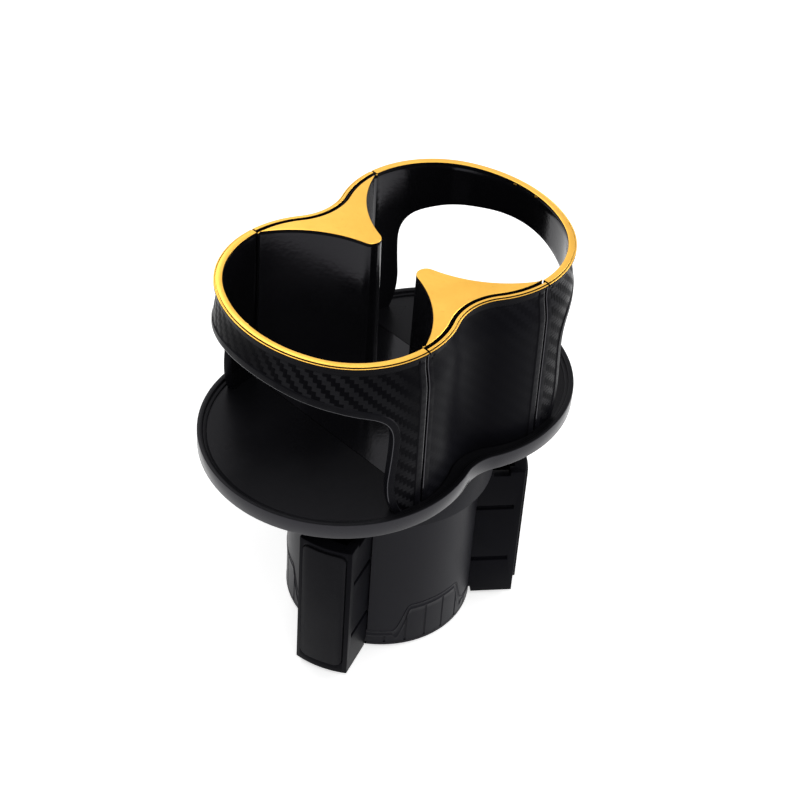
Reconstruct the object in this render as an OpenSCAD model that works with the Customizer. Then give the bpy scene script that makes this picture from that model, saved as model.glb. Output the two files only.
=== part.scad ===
// Cup holder expander: a figure-of-eight twin cup body that swivels on a base with three sliding feet.
// Millimetres, +Z up. The origin is on the base axis at the floor. X is the long axis of the body.

/* [Upper body plan] */
// Length of the rim outline
rim_l = 107.7; // [100:0.1:116]
// Width of the rim outline over the cups
rim_w = 71.2; // [68:0.1:76]
// Depth of the waist on each side
waist_in = 5.8; // [4:0.1:8]
// Distance of the rim corner arcs' centres from the ends of the rim
corner_in = 31.35; // [29:0.05:34]
// Angle at which the rim's end arc meets its corner arcs
rim_blend = 28; // [22:1:35]

/* [Tray] */
// Distance by which the tray stands out at each end of the rim
tray_end = 6.65; // [5.5:0.05:10]
// Distance by which the tray stands out beside the cups
tray_side = 5.15; // [4.6:0.05:8]
// Distance by which the tray stands out beside the waist
tray_waist = 7.2; // [5:0.1:9]
// Distance of the tray corner arcs' centres from the ends of the tray
tray_corner_in = 40.5; // [38:0.1:43]
// Angle at which the tray's end arc meets its corner arcs
tray_blend = 45; // [40:1:60]
// Height of the tray, skirt to lip
tray_h = 5; // [4.4:0.1:7]
// Width of the lip round the tray
lip_w = 1.6; // [1:0.1:2.5]
// Depth of the deck below the lip
lip_h = 1.3; // [0.8:0.1:2]
// Width of the small step inside the lip
step_w = 1.1; // [0.6:0.1:2]
// Height of the small step above the deck
step_h = 0.5; // [0.3:0.1:0.7]
// Thickness of the tray web under the floor plates
tray_web = 1.5; // [1.2:0.1:2.2]
// Radius of the hub under the tray
hub_r = 9; // [8:0.1:12]
// Depth of the hub below the tray
hub_h = 5; // [3:0.1:6]
// Distance of the outer floor screws' heads from the adjuster ring
screw_out = 3; // [1:0.1:5]

/* [Cup walls] */
// Height of the body walls above the tray lip, trims included
wall_h = 51.4; // [44:0.1:60]
// Thickness of the end walls at the rim
wall_t = 2.4; // [1.8:0.1:3]
// Depth of the neck under the rim trims
neck_d = 0.8; // [0.3:0.1:1.2]
// Height of the neck
neck_h = 4; // [3:0.1:5]
// Height of the band below the rim trims
band_h = 7.5; // [6:0.1:8.5]
// Height over which the inner face runs straight down from the rim
straight_h = 11.5; // [10:0.1:14]
// Height of the walls' foot above the deck
wall_foot_h = 12; // [8:0.1:16]
// Outward flare of the walls at the deck
flare = 1.3; // [0.6:0.1:2]
// Inward lean of the inner face from the rim down to the deck
inner_draft = -1; // [-1.4:0.1:0]
// Width of the seams between the shells and the waist
seam_gap = 0.6; // [0.4:0.1:1]
// Width of the legs between the end windows and the seams
leg_w = 10.4; // [7:0.1:14]
// Growth of the legs' feet towards the window
leg_foot = 1.2; // [0.4:0.1:2]
// Height of the legs' feet above the deck
leg_foot_h = 3; // [2:0.1:6]
// Depth of the window's top below the rim, in the middle
window_drop = 12.4; // [10:0.1:18]
// Radius of the window's arched top, measured along the wall
window_arch_r = 125; // [90:1:180]
// Radius of the window's top corners
window_corner_r = 4.5; // [1:0.5:7]

/* [Waist] */
// Thickness of the waist panels at the rim
panel_t = 1.55; // [1.3:0.05:2]
// Width of the slot between each waist panel and its column
slot_w = 0.9; // [0.6:0.05:1.2]
// Distance from the middle to each cup's round face
cup_gap = 1.35; // [0.8:0.05:2]
// Thickness of the columns' thin ends
column_end = 0.23; // [0.2:0.01:1]
// Distance of the column tips from the middle
tip_y = 8.2; // [7:0.1:12]
// Growth of the columns from the rim down to the floor
column_draft = 0.8; // [0:0.1:1]
// Wall thickness of the hollow columns
column_wall = 2; // [1.6:0.1:2.4]
// Half length of the hollow inside each column
hollow_x = 9; // [6:0.5:10]

/* [Trims] */
// Height of the rim trims
trim_h = 1.2; // [0.8:0.1:2]
// Height of the edge bevel on the trims
trim_bevel = 0.25; // [0.1:0.05:0.4]

/* [Base] */
// Radius of the base barrel
barrel_r = 28.9; // [28:0.1:31]
// Thickness of the barrel wall
barrel_t = 2.4; // [2:0.1:3]
// Height of the barrel's upper edge
barrel_h = 55.9; // [50:0.1:62]
// Thickness of the barrel's top plate
plate_t = 3.5; // [3:0.1:5]
// Thickness of the bottom cap
cap_t = 2.4; // [2:0.1:3]
// Length of the screws in the bottom cap
cap_screw_l = 12; // [8:0.5:16]
// Distance of the cap screws from the barrel's outside
cap_screw_in = 7.9; // [7:0.1:9]
// Height of the line where the cap meets the barrel
cap_line = 1.8; // [1.4:0.1:2]
// Bevel round the bottom cap
cap_bevel = 0.8; // [0.4:0.1:1.2]
// Height of the low skirt pattern beside the feet
skirt_low = 7; // [5:0.1:9]
// Height of the skirt pattern midway between the feet
skirt_high = 17.4; // [14:0.1:22]
// Half width of the pattern's raised plateau
skirt_half = 8.4; // [7:0.1:10]
// Width of the slope on each side of the plateau
skirt_slope = 5; // [3:0.1:7]
// Width of the pattern's border
skirt_border = 2; // [1.5:0.1:2.5]
// Depth of each level of the pattern
skirt_cut = 0.35; // [0.2:0.05:0.5]
// Distance between the pattern's ribs
skirt_pitch = 5.4; // [4:0.1:8]
// Width of the pattern's ribs
skirt_rib = 0.9; // [0.6:0.1:1.4]

/* [Feet] */
// Number of feet
foot_count = 3; // [3]
// Direction of the first foot, degrees from +X
foot_angle = -37.5; // [-60:0.5:60]
// Width of each foot
foot_w = 16.7; // [14:0.1:18]
// Distance by which the feet stand out of the barrel as shown
foot_show = 14.5; // [13:0.1:15]
// Distance by which the feet stand out when they are fully out
foot_show_max = 16.1; // [15.6:0.1:18]
// Distance by which the feet stand out when they are fully in
foot_show_min = 4.5; // [4.3:0.1:8]
// Length of the feet along their travel
foot_l = 25.9; // [24:0.1:27]
// Height of the feet above the floor
foot_lift = 1.1; // [0.9:0.1:1.6]
// Wall thickness of the feet
foot_wall = 1.8; // [1.4:0.1:2.2]
// Height of the guide grooves' middles above the floor
groove_z = [15.5, 37.3];
// Height of the guide grooves
groove_h = 1.8; // [1.4:0.1:2.4]
// Depth of the guide grooves
groove_d = 1.2; // [0.8:0.1:1.4]
// Thickness of the rubber pads
pad_t = 1.6; // [1.2:0.1:2]
// Amount by which the pads stand out of the feet
pad_proud = 0.6; // [0.3:0.1:1]
// Width of the foot's frame round its pad
pad_frame = 1.6; // [1.2:0.1:2.2]
// Radius of the pad's corners
pad_corner_r = 2.2; // [1:0.1:3]
// Distance from the foot's lower edge up to the pad
pad_low = 3.4; // [2:0.1:6]
// Distance from the foot's face back to the notches in its upper edge
notch_back = 6.4; // [5:0.1:8]
// Length of the notches
notch_l = 5.2; // [3:0.1:6]
// Depth of the notches
notch_d = 1.4; // [0.8:0.1:2]

/* [Adjuster] */
// Distance by which the adjuster ring stands out beyond the barrel
adjuster_out = 3.6; // [3:0.1:5]
// Thickness of the adjuster ring's wall
adjuster_t = 2.6; // [2:0.1:3]
// Height of the adjuster ring
adjuster_h = 16.8; // [14:0.1:20]
// Distance by which the adjuster ring reaches down over the barrel
adjuster_lap = 2.4; // [1.6:0.1:3]
// Thickness of the scroll disc
scroll_t = 3; // [2.4:0.1:4]
// Rise of the scroll slots for each degree of turn
scroll_rise = 0.09; // [0.08:0.005:0.11]
// Radius of the feet's scroll pegs
peg_r = 2; // [1.6:0.1:2.4]
// Distance of the pegs behind the foot faces
peg_back = 22; // [21.4:0.1:22.6]
// Radius of the boss on the scroll disc
boss_r = 7; // [6:0.1:9]
// Height of the boss
boss_h = 2; // [1:0.1:3]
// Radius of the pivot bush
bush_r = 4; // [3.5:0.1:5]
// Radius of the pivot screw's shank
pivot_r = 2.3; // [2:0.1:2.8]
// Radius of the pivot screw's head
pivot_head_r = 5; // [4:0.1:6]
// Height of the pivot screw's head
pivot_head_h = 2; // [1.5:0.1:2.5]
// Width of the cross slots in the pivot screw's head
pivot_slot_w = 0.9; // [0.6:0.1:1.2]
// Radius of the washer under the barrel's top plate
washer_r = 6.2; // [5:0.1:8]
// Thickness of the washer
washer_t = 0.8; // [0.5:0.1:1.2]

/* [Fits] */
// Gap between pieces that move past each other
gap = 0.3; // [0.25:0.05:0.4]
// Radial running clearance on the pivot bush
run = 0.07; // [0.03:0.01:0.1]
// Gap round pieces that are fitted together
seat = 0.15; // [0.1:0.05:0.25]
// Clearance of a screw's shank in the hole it is driven into
thread_fit = 0.05; // [0.02:0.01:0.1]
// Clearance of a screw in a plain hole or a countersink
screw_gap = 0.2; // [0.1:0.05:0.4]
// Clearance of the pivot bush in the hub
bush_fit = 0.02; // [0.01:0.01:0.05]
// Room left above the feet, besides the gap
foot_room = 0.5; // [0.3:0.1:1]

/* [Screws] */
// Radius of the screws' shanks
screw_r = 1.3; // [1:0.05:1.6]
// Radius of the screws' heads
screw_head_r = 2.6; // [2:0.1:3]
// Height of the screws' heads
screw_head_h = 1.2; // [0.8:0.1:1.6]
// Material left at the end of a blind hole
hole_end = 0.6; // [0.4:0.1:1]
// Radius of the screw posts in the barrel
post_r = 3.4; // [2.6:0.1:4]
// Thickness of the guide walls in the barrel
guide_t = 1.6; // [1.2:0.1:2.4]
// Length of the guide walls
guide_l = 15.9; // [12:0.1:18]

/* [Hidden] */
$fn = 96;

// How far cutting shapes run past what they cut, and how far joined shapes run into each other
over = 1;
lap = 0.1;

// Heights, from the floor up
foot_floor = cap_t + 3 * gap;
foot_top = barrel_h - plate_t - gap - foot_room;
adjuster_z = barrel_h - adjuster_lap;
scroll_z = barrel_h + gap;
tray_z = adjuster_z + adjuster_h + gap;
lip_z = tray_z + tray_h;
deck_z = lip_z - lip_h;
floor_z = tray_z + tray_web;
floor_t = deck_z - floor_z;
rim_z = lip_z + wall_h;
wall_top = rim_z - trim_h;
window_top = rim_z - window_drop;

// Plans of the rim and of the tray: length, width, waist, corner position, blend angle
tray_l = rim_l + 2 * tray_end;
tray_w = rim_w + 2 * tray_side;
waist_w = rim_w - 2 * waist_in;
rim_plan = plan_of(rim_l, rim_w, waist_w, rim_l / 2 - corner_in, rim_blend);
tray_plan = plan_of(tray_l, tray_w, waist_w + 2 * tray_waist, tray_l / 2 - tray_corner_in, tray_blend);
seam_x = rim_plan[2];
adjuster_r = barrel_r + adjuster_out;
shell_x = seam_x + seam_gap;

// Points on an arc and on a short arc, and the degrees left out where two arcs meet
steps = 10;
few = 4;
skip = 1;

black = [0.09, 0.09, 0.1];
charcoal = [0.2, 0.2, 0.22];
gold = [0.88, 0.68, 0.28];
steel = [0.62, 0.62, 0.64];

// A figure-of-eight plan is made of end arcs, corner arcs and waist arcs that meet on tangents.
// [0] end arc centre x, [1] its radius, [2] corner centre x, [3] corner centre y, [4] corner radius,
// [5] waist centre y, [6] waist radius, [7] blend angle
function plan_of(l, w, waist, cx, blend) =
    let(d = (cx - l / 2 + w / 2) / (cos(blend) + sin(blend) - 1))
    let(cr = w / 2 - d * sin(blend), er = w / 2 + d * (1 - sin(blend)), cy = d * sin(blend))
    let(h = waist / 2 - cy, wr = (cx * cx + h * h - cr * cr) / (2 * (cr - h)))
    [l / 2 - er, er, cx, cy, cr, waist / 2 + wr, wr, blend];

// Angle, about the corner centre, of the point where the corner arc meets the waist arc
function meet(p) = atan2(p[5] - p[3], -p[2]);

function arc(cx, cy, r, a, b, n) =
    [for (i = [0:n]) let(t = a + (b - a) * i / n) [cx + r * cos(t), cy + r * sin(t)]];

// The outline at an inward offset of d round one end, from seam to seam
function end_path(p, d, from) =
    let(a = acos((from - p[2]) / p[4]))
    concat(arc(p[2], -p[3], p[4] - d, -a, -p[7], steps),
        arc(p[0], 0, p[1] - d, -p[7] + skip, p[7] - skip, steps),
        arc(p[2], p[3], p[4] - d, p[7], a, steps));

// The outline at an inward offset of d along one side of the waist, from x to -x
function waist_path(p, d, x) =
    let(m = meet(p), a = acos((x - p[2]) / (p[4] - d)))
    concat(arc(p[2], p[3], p[4] - d, a, m, few),
        arc(0, p[5], p[6] + d, m - 180 - few, -m + few, 2 * steps),
        arc(-p[2], p[3], p[4] - d, 180 - m, 180 - a, few));

// The outside of the walls: a neck under the trim, a swell below it and a flare to the deck
wall_out = [[wall_top, neck_d * 0.6], [wall_top - neck_h * 0.4, neck_d], [wall_top - neck_h, neck_d * 0.85],
    [wall_top - band_h, 0], [wall_top - straight_h, -flare * 0.45], [deck_z + wall_foot_h, -flare * 0.8],
    [floor_z, -flare]];
function wall_in(t) = [[floor_z, t + inner_draft], [deck_z + wall_foot_h, t + inner_draft * 0.8],
    [wall_top - straight_h, t], [wall_top, t]];

// Half length of an end wall, and half width of the window in it, both measured along the wall
wall_half = (rim_plan[1] * rim_blend
    + rim_plan[4] * (acos((shell_x - rim_plan[2]) / rim_plan[4]) - rim_blend)) * PI / 180;
window_half = wall_half - leg_w;

// Where an end wall stands at a distance s along it from the middle: x, y and its outward direction
function wall_at(p, s) =
    let(turn = p[1] * p[7] * PI / 180, u = abs(s))
    let(c = u < turn ? [p[0], 0, p[1]] : [p[2], p[3], p[4]])
    let(a = u < turn ? u / c[2] * 180 / PI : p[7] + (u - turn) / c[2] * 180 / PI)
    [c[0] + c[2] * cos(a), sign(s) * (c[1] + c[2] * sin(a)), cos(a), sign(s) * sin(a)];

// A point set in from the outline by d, at a distance s along the wall
function set_in(s, d) = let(at = wall_at(rim_plan, s)) [at[0] - d * at[2], at[1] - d * at[3]];

// Half an end wall from the middle out: distance along the wall and height of its lower edge,
// which is the arched top of the window, its corner, its side, and then the leg
function arch_z(s) = window_top - s * s / (2 * window_arch_r);
half_wall =
    let(flat = window_half - window_corner_r, r = window_corner_r, foot = window_half + leg_foot)
    concat([for (i = [0:steps]) let(s = flat * i / steps) [s, arch_z(s)]],
        [for (a = [22.5:22.5:90]) [flat + r * sin(a), arch_z(flat) - r * (1 - cos(a))]],
        [[window_half + lap, deck_z + leg_foot_h], [foot, deck_z], [foot + seam_gap, floor_z]],
        [for (i = [1:few]) [foot + seam_gap + (wall_half - foot - seam_gap) * i / few, floor_z]]);

// One ring of an end wall, closed in the plane across it: down the outside, then up the inside.
// The rows below the band keep their share of the height that is left above the lower edge.
function wall_ring(s, low) =
    let(band = wall_top - band_h)
    let(share = [for (i = [4:6]) (wall_out[i][0] - floor_z) / (band - floor_z)])
    let(down = [for (f = share) low + (band - low) * f])
    let(outer = concat([for (i = [0:3]) wall_out[i][0]], down), inner = [down[2], down[1], down[0], wall_top])
    concat([for (z = outer) let(q = set_in(s, lookup(z, wall_out))) [q[0], q[1], z]],
        [for (z = inner) let(q = set_in(s, lookup(z, wall_in(wall_t)))) [q[0], q[1], z]]);

// A solid skinned over rows of points, each row a closed ring, with flat ends. Where the rings are
// two chains of equal length, the ends are closed by a strip of triangles between the chains.
module skin(rows, strip = false) {
    n = len(rows[0]);
    m = len(rows);
    sides = [for (i = [0:m - 2]) for (j = [0:n - 1])
        [i * n + j, (i + 1) * n + j, (i + 1) * n + (j + 1) % n, i * n + (j + 1) % n]];
    first = !strip ? [[for (j = [0:n - 1]) j]] :
        [for (j = [0:n / 2 - 2]) each [[j, j + 1, n - 2 - j], [j, n - 2 - j, n - 1 - j]]];
    last = [for (face = first) [for (j = [len(face) - 1:-1:0]) (m - 1) * n + face[j]]];
    polyhedron(points = [for (row = rows) each row], faces = concat(first, sides, last), convexity = 8);
}

// The full plan at an inward offset of d
module plan(p, d) {
    m = meet(p);
    difference() {
        union() {
            for (sx = [-1, 1]) scale([sx, 1]) {
                for (sy = [-1, 1]) scale([1, sy]) {
                    translate([p[2], p[3]]) circle(r = p[4] - d);
                }
                intersection() {
                    translate([p[0], 0]) circle(r = p[1] - d);
                    polygon([[p[0], 0], [p[0] + 2 * p[1], 2 * p[1] * tan(p[7])],
                        [p[0] + 2 * p[1], -2 * p[1] * tan(p[7])]]);
                }
            }
            polygon([[p[2], -p[3]], [p[2], p[3]],
                [p[2] + (p[4] - d) * cos(m), p[3] + (p[4] - d) * sin(m)], [0, p[5]],
                [-p[2] - (p[4] - d) * cos(m), p[3] + (p[4] - d) * sin(m)], [-p[2], p[3]],
                [-p[2], -p[3]],
                [-p[2] - (p[4] - d) * cos(m), -p[3] - (p[4] - d) * sin(m)], [0, -p[5]],
                [p[2] + (p[4] - d) * cos(m), -p[3] - (p[4] - d) * sin(m)]]);
        }
        for (sy = [-1, 1]) translate([0, sy * p[5]]) circle(r = p[6] + d);
    }
}

// The same plan drawn with short flats, on the points that the walls are skinned over
module plan_flats(p, d) {
    half = concat(end_path(p, d, p[2]), waist_path(p, d, p[2]));
    side = [for (i = [0:len(half) - 2]) if (norm(half[i + 1] - half[i]) > 0.01) half[i]];
    polygon(concat(side, [for (q = side) -q]));
}

// Half plane beyond a seam, at the front (-1) or at the rear (1)
module beyond(x, side) {
    translate([side * (x + tray_l / 2), 0]) square([tray_l, 2 * tray_w], center = true);
}

module between(x) {
    square([2 * x, 2 * tray_w], center = true);
}

// One end shell, modelled at the rear: a band with a window under it, and a floor plate
module end_shell() {
    last = len(half_wall) - 1;
    skin(concat([for (i = [last:-1:1]) wall_ring(-half_wall[i][0], half_wall[i][1])],
        [for (at = half_wall) wall_ring(at[0], at[1])]));
    translate([0, 0, floor_z]) linear_extrude(floor_t) intersection() {
        plan(rim_plan, -flare + lap);
        beyond(shell_x, 1);
    }
}

module front_shell() {
    color(charcoal) rotate([0, 0, 180]) shell_drilled();
}

module rear_shell() {
    color(charcoal) shell_drilled();
}

// A blind hole for a screw, from below into a floor plate
module screw_hole(at) {
    translate([at[0], at[1], floor_z]) cylinder(r = screw_r + thread_fit, h = floor_t - hole_end);
}

module shell_drilled() {
    difference() {
        end_shell();
        for (at = shell_screws) screw_hole(at);
    }
}

// Waist panels, the outer skins of the waist
module waist_panel() {
    levels = concat(wall_out, wall_in(panel_t));
    rows = [for (lv = levels) at_height(waist_path(rim_plan, lv[1], seam_x), lv[0])];
    loops = [for (j = [0:len(rows[0]) - 1]) [for (row = rows) row[j]]];
    skin(loops);
}

module left_panel() {
    color(charcoal) waist_panel();
}

module right_panel() {
    color(charcoal) rotate([0, 0, 180]) waist_panel();
}

// Outline of one column, grown by g towards the cups and cut at end_x on both sides:
// cup faces either side, a round tip, and a back at an offset of d that follows the waist
function column_outline(g, d, end_x) =
    let(r = cup_face_r - g, x = cup_face_r + cup_gap, t = tip_y - g)
    let(tr = (x * x + t * t - r * r) / (2 * (r - t)), ty = t + tr)
    let(a = atan2(ty, x), top = atan2(sqrt(r * r - pow(x - end_x, 2)), x - end_x))
    concat(waist_path(rim_plan, d, end_x),
        arc(-x, 0, r, top, a, steps),
        arc(0, ty, tr, a - 180, -a, 2 * few),
        arc(x, 0, r, 180 - a, 180 - top, steps));

function at_height(outline, z) = [for (q = outline) [q[0], q[1], z]];

column_x = seam_x - seam_gap;
column_back = panel_t + slot_w;

// The cups' round faces pass the middle line and the thin ends of the columns
cup_face_r = let(y = rim_w / 2 - column_back - column_end)
    (pow(column_x - cup_gap, 2) + y * y) / (2 * (column_x - cup_gap));

// A column stands in the floor plate and is hollow from below
module column() {
    low = column_outline(column_draft, column_back, column_x);
    high = column_outline(0, column_back, column_x);
    skin([at_height(low, deck_z - floor_t / 2), at_height(high, wall_top)], strip = true);
}

module column_hollow() {
    translate([0, 0, floor_z - over]) linear_extrude(wall_top - column_wall - floor_z + over) difference() {
        plan(rim_plan, column_back + column_wall);
        for (s = [-1, 1]) translate([s * (cup_face_r + cup_gap), 0]) circle(r = cup_face_r + column_wall);
        for (s = [-1, 1]) translate([s * (hollow_x + rim_l / 2), 0]) square(rim_l, center = true);
        translate([0, -tray_w / 2 + tip_y + 2 * column_wall]) square([2 * hollow_x, tray_w], center = true);
    }
}

// Centre frame: both columns on one floor plate
module centre_frame() {
    color(black) difference() {
        union() {
            column();
            rotate([0, 0, 180]) column();
            translate([0, 0, floor_z]) linear_extrude(floor_t) intersection() {
                plan(rim_plan, panel_t + inner_draft + seat);
                between(seam_x);
            }
        }
        column_hollow();
        rotate([0, 0, 180]) column_hollow();
        for (at = frame_screws) screw_hole(at);
    }
}

// Rim trims: flat strips with a small bevel on their upper edges
module trim(d_out, d_in) {
    h = trim_h - trim_bevel;
    for (lv = [[0, h, 0], [h, trim_bevel, trim_bevel]])
        translate([0, 0, wall_top + lv[0]]) linear_extrude(lv[1]) difference() {
            plan(rim_plan, d_out + lv[2]);
            plan(rim_plan, d_in - lv[2]);
        }
}

module end_trim(side) {
    color(gold) intersection() {
        trim(0, wall_t);
        linear_extrude(2 * rim_z) beyond(shell_x, side);
    }
}

module front_rim_trim() {
    end_trim(-1);
}

module rear_rim_trim() {
    end_trim(1);
}

module waist_trim(side) {
    color(gold) intersection() {
        trim(0, panel_t);
        linear_extrude(2 * rim_z) intersection() {
            between(seam_x);
            translate([0, side * tray_w / 2]) square([tray_l, tray_w], center = true);
        }
    }
}

module right_waist_trim() {
    waist_trim(-1);
}

module left_waist_trim() {
    waist_trim(1);
}

module column_cap() {
    color(gold) translate([0, 0, wall_top]) linear_extrude(trim_h)
        polygon(column_outline(0, column_back, column_x));
}

module left_column_cap() {
    column_cap();
}

module right_column_cap() {
    rotate([0, 0, 180]) column_cap();
}

// Tray: lip, step, deck, a recess for the floor plates, and a hub underneath
module tray() {
    color(black) difference() {
        union() {
            translate([0, 0, tray_z]) linear_extrude(tray_h) plan(tray_plan, 0);
            translate([0, 0, tray_z - hub_h]) cylinder(r = hub_r, h = hub_h);
        }
        translate([0, 0, deck_z + step_h]) linear_extrude(tray_h) plan(tray_plan, lip_w);
        translate([0, 0, deck_z]) linear_extrude(tray_h) plan(tray_plan, lip_w + step_w);
        translate([0, 0, floor_z]) linear_extrude(tray_h) plan_flats(rim_plan, -flare - seat);
        translate([0, 0, tray_z - hub_h - over]) {
            cylinder(r = pivot_r + thread_fit, h = hub_h + tray_web + 2 * over);
            cylinder(r = bush_r + bush_fit, h = bush_top - tray_z + hub_h + over);
        }
        for (at = all_screws) translate([at[0], at[1], tray_z - over])
            cylinder(r = screw_r + screw_gap, h = tray_web + 2 * over);
    }
}

// Floor screws, driven from under the tray: four inside the adjuster ring, and the rest round it
frame_screws = [for (a = [-129, -51, 51, 129]) (hub_r + adjuster_r - adjuster_t) / 2 * [cos(a), sin(a)]];
shell_screws = [for (a = [-38, -15, 15, 38]) (adjuster_r + screw_head_r + screw_out) * [cos(a), sin(a)]];
all_screws = concat(frame_screws, shell_screws, [for (at = shell_screws) -at]);

module floor_screws() {
    color(steel) for (at = all_screws) translate([at[0], at[1], 0]) {
        translate([0, 0, tray_z - screw_head_h]) cylinder(r = screw_head_r, h = screw_head_h);
        translate([0, 0, tray_z - lap]) cylinder(r = screw_r, h = tray_web + floor_t - hole_end);
    }
}

// Pivot: a bush clamped under the hub by a washer and a screw
bush_z = barrel_h - plate_t - gap;
bush_top = tray_z - hub_h / 2;

module tube(z, from, to, h) {
    translate([0, 0, z]) difference() {
        cylinder(r = to, h = h);
        translate([0, 0, -over]) cylinder(r = from, h = h + 2 * over);
    }
}

module pivot_bush() {
    color(steel) tube(bush_z, pivot_r + gap, bush_r, bush_top - bush_z);
}

module pivot_washer() {
    color(steel) tube(bush_z - washer_t, pivot_r + gap, washer_r, washer_t);
}

module pivot_screw() {
    z = bush_z - washer_t - pivot_head_h;
    color(steel) translate([0, 0, z]) difference() {
        union() {
            cylinder(r = pivot_head_r, h = pivot_head_h);
            cylinder(r = pivot_r, h = floor_z - hole_end - z);
        }
        for (a = [0, 90]) rotate([0, 0, a]) cube([pivot_head_r, pivot_slot_w, pivot_head_h], center = true);
    }
}

// Feet. Each is placed by its number round the base.
function foot_dir(k) = foot_angle + 360 / foot_count * k;
face_r = barrel_r + pad_proud;
foot_hw = foot_w / 2;
face_sag = face_r - sqrt(face_r * face_r - foot_hw * foot_hw);
foot_reach = barrel_r + foot_show;
foot_in = foot_show - foot_show_min;
foot_out = foot_show_max - foot_show;
foot_inner = foot_reach - foot_l;
peg_at = foot_reach - peg_back;
peg_top = scroll_z + scroll_t - gap;
step_x = barrel_r - gap;

// A block along a foot's direction: from x0 to x1, half width hw, from z0 to z1
module along(x0, x1, hw, z0, z1) {
    translate([x0, -hw, z0]) cube([x1 - x0, 2 * hw, z1 - z0]);
}

module foot() {
    difference() {
        union() {
            intersection() {
                union() {
                    along(foot_inner, foot_reach, foot_hw, foot_floor, foot_top);
                    along(step_x, foot_reach, foot_hw, foot_lift, foot_top);
                }
                translate([foot_reach - pad_proud - face_r, 0, 0]) cylinder(r = face_r, h = foot_top);
            }
            translate([peg_at, 0, foot_top - over]) cylinder(r = peg_r, h = peg_top - foot_top + over);
        }
        // hollow, open at the top
        along(peg_at + peg_r + foot_wall, foot_reach - pad_t - foot_wall - face_sag,
            foot_hw - groove_d - foot_wall, foot_floor + 2 * foot_wall, foot_top + over);
        // guide grooves, closed at their outer end so that the guides stop the feet at their inner limit
        for (z = groove_z) for (s = [-1, 1]) translate([0, s * foot_hw, 0])
            along(foot_inner - over, barrel_r + foot_in + gap, groove_d, z - groove_h / 2, z + groove_h / 2);
        // notch in the upper edge of each side
        along(foot_reach - notch_back - notch_l, foot_reach - notch_back, foot_hw + over,
            foot_top - notch_d, foot_top + over);
        // seat of the pad
        pad_block(foot_reach - pad_t, foot_reach + pad_t, seat);
    }
}

// A curved slab with round corners, between two distances from the axis
module pad_block(from, to, grow) {
    hw = foot_hw - pad_frame + grow;
    low = foot_lift + pad_low - grow;
    high = foot_top - pad_frame + grow;
    intersection() {
        difference() {
            translate([to - face_r, 0, low]) cylinder(r = face_r, h = high - low);
            translate([from - face_r, 0, low - over]) cylinder(r = face_r, h = high - low + 2 * over);
        }
        translate([step_x, 0, 0]) rotate([90, 0, 90]) linear_extrude(foot_reach) union() {
            translate([-hw + pad_corner_r, low]) square([2 * hw - 2 * pad_corner_r, high - low]);
            translate([-hw, low + pad_corner_r]) square([2 * hw, high - low - 2 * pad_corner_r]);
            for (s = [-1, 1]) for (z = [low + pad_corner_r, high - pad_corner_r])
                translate([s * (hw - pad_corner_r), z]) circle(r = pad_corner_r, $fn = 32);
        }
    }
}

module foot_at(k) {
    rotate([0, 0, foot_dir(k)]) children();
}

module foot_right() {
    color(charcoal) foot_at(0) foot();
}

module foot_left() {
    color(charcoal) foot_at(1) foot();
}

module foot_front() {
    color(charcoal) foot_at(2) foot();
}

module pad() {
    color(black) pad_block(foot_reach - pad_t, foot_reach, 0);
}

module pad_right() {
    foot_at(0) pad();
}

module pad_left() {
    foot_at(1) pad();
}

module pad_front() {
    foot_at(2) pad();
}

// Adjuster: a grip ring with a scroll disc inside it. Each slot is an Archimedean spiral.
turn_out = foot_out / scroll_rise;
turn_in = foot_in / scroll_rise;

function scroll_at(t, side) =
    let(r = peg_at + scroll_rise * t, slope = scroll_rise * 180 / PI)
    let(n = atan2(slope, r), w = side * (peg_r + gap))
    [r * cos(t) + w * cos(t - n), r * sin(t) + w * sin(t - n)];

// The round end of a slot, as an arc of half a turn from a given angle off the slot's normal
function scroll_end(t, from) =
    let(r = peg_at + scroll_rise * t, n = atan2(scroll_rise * 180 / PI, r), w = peg_r + gap)
    [for (i = [1:steps]) let(a = t - n + from + 180 * i / (steps + 1))
        [r * cos(t) + w * cos(a), r * sin(t) + w * sin(a)]];

module scroll_slot() {
    n = 30;
    turn = turn_in + turn_out;
    polygon(concat([for (i = [0:n]) scroll_at(turn * i / n - turn_in, 1)], scroll_end(turn_out, 0),
        [for (i = [n:-1:0]) scroll_at(turn * i / n - turn_in, -1)], scroll_end(-turn_in, 180)));
}

module adjuster_ring() {
    disc_top = scroll_z + scroll_t;
    color(charcoal) difference() {
        translate([0, 0, adjuster_z]) cylinder(r = adjuster_r, h = adjuster_h);
        // room for the barrel's top
        translate([0, 0, adjuster_z - over]) cylinder(r = barrel_r + gap, h = scroll_z - adjuster_z + over);
        // room above the disc, round the boss
        tube(disc_top, boss_r, adjuster_r - adjuster_t, adjuster_h);
        translate([0, 0, disc_top + boss_h]) cylinder(r = boss_r + over, h = adjuster_h);
        translate([0, 0, scroll_z - over]) cylinder(r = bush_r + run, h = adjuster_h);
        for (k = [0:foot_count - 1]) rotate([0, 0, foot_dir(k)])
            translate([0, 0, scroll_z - over]) linear_extrude(scroll_t + 2 * over) scroll_slot();
    }
}

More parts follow.
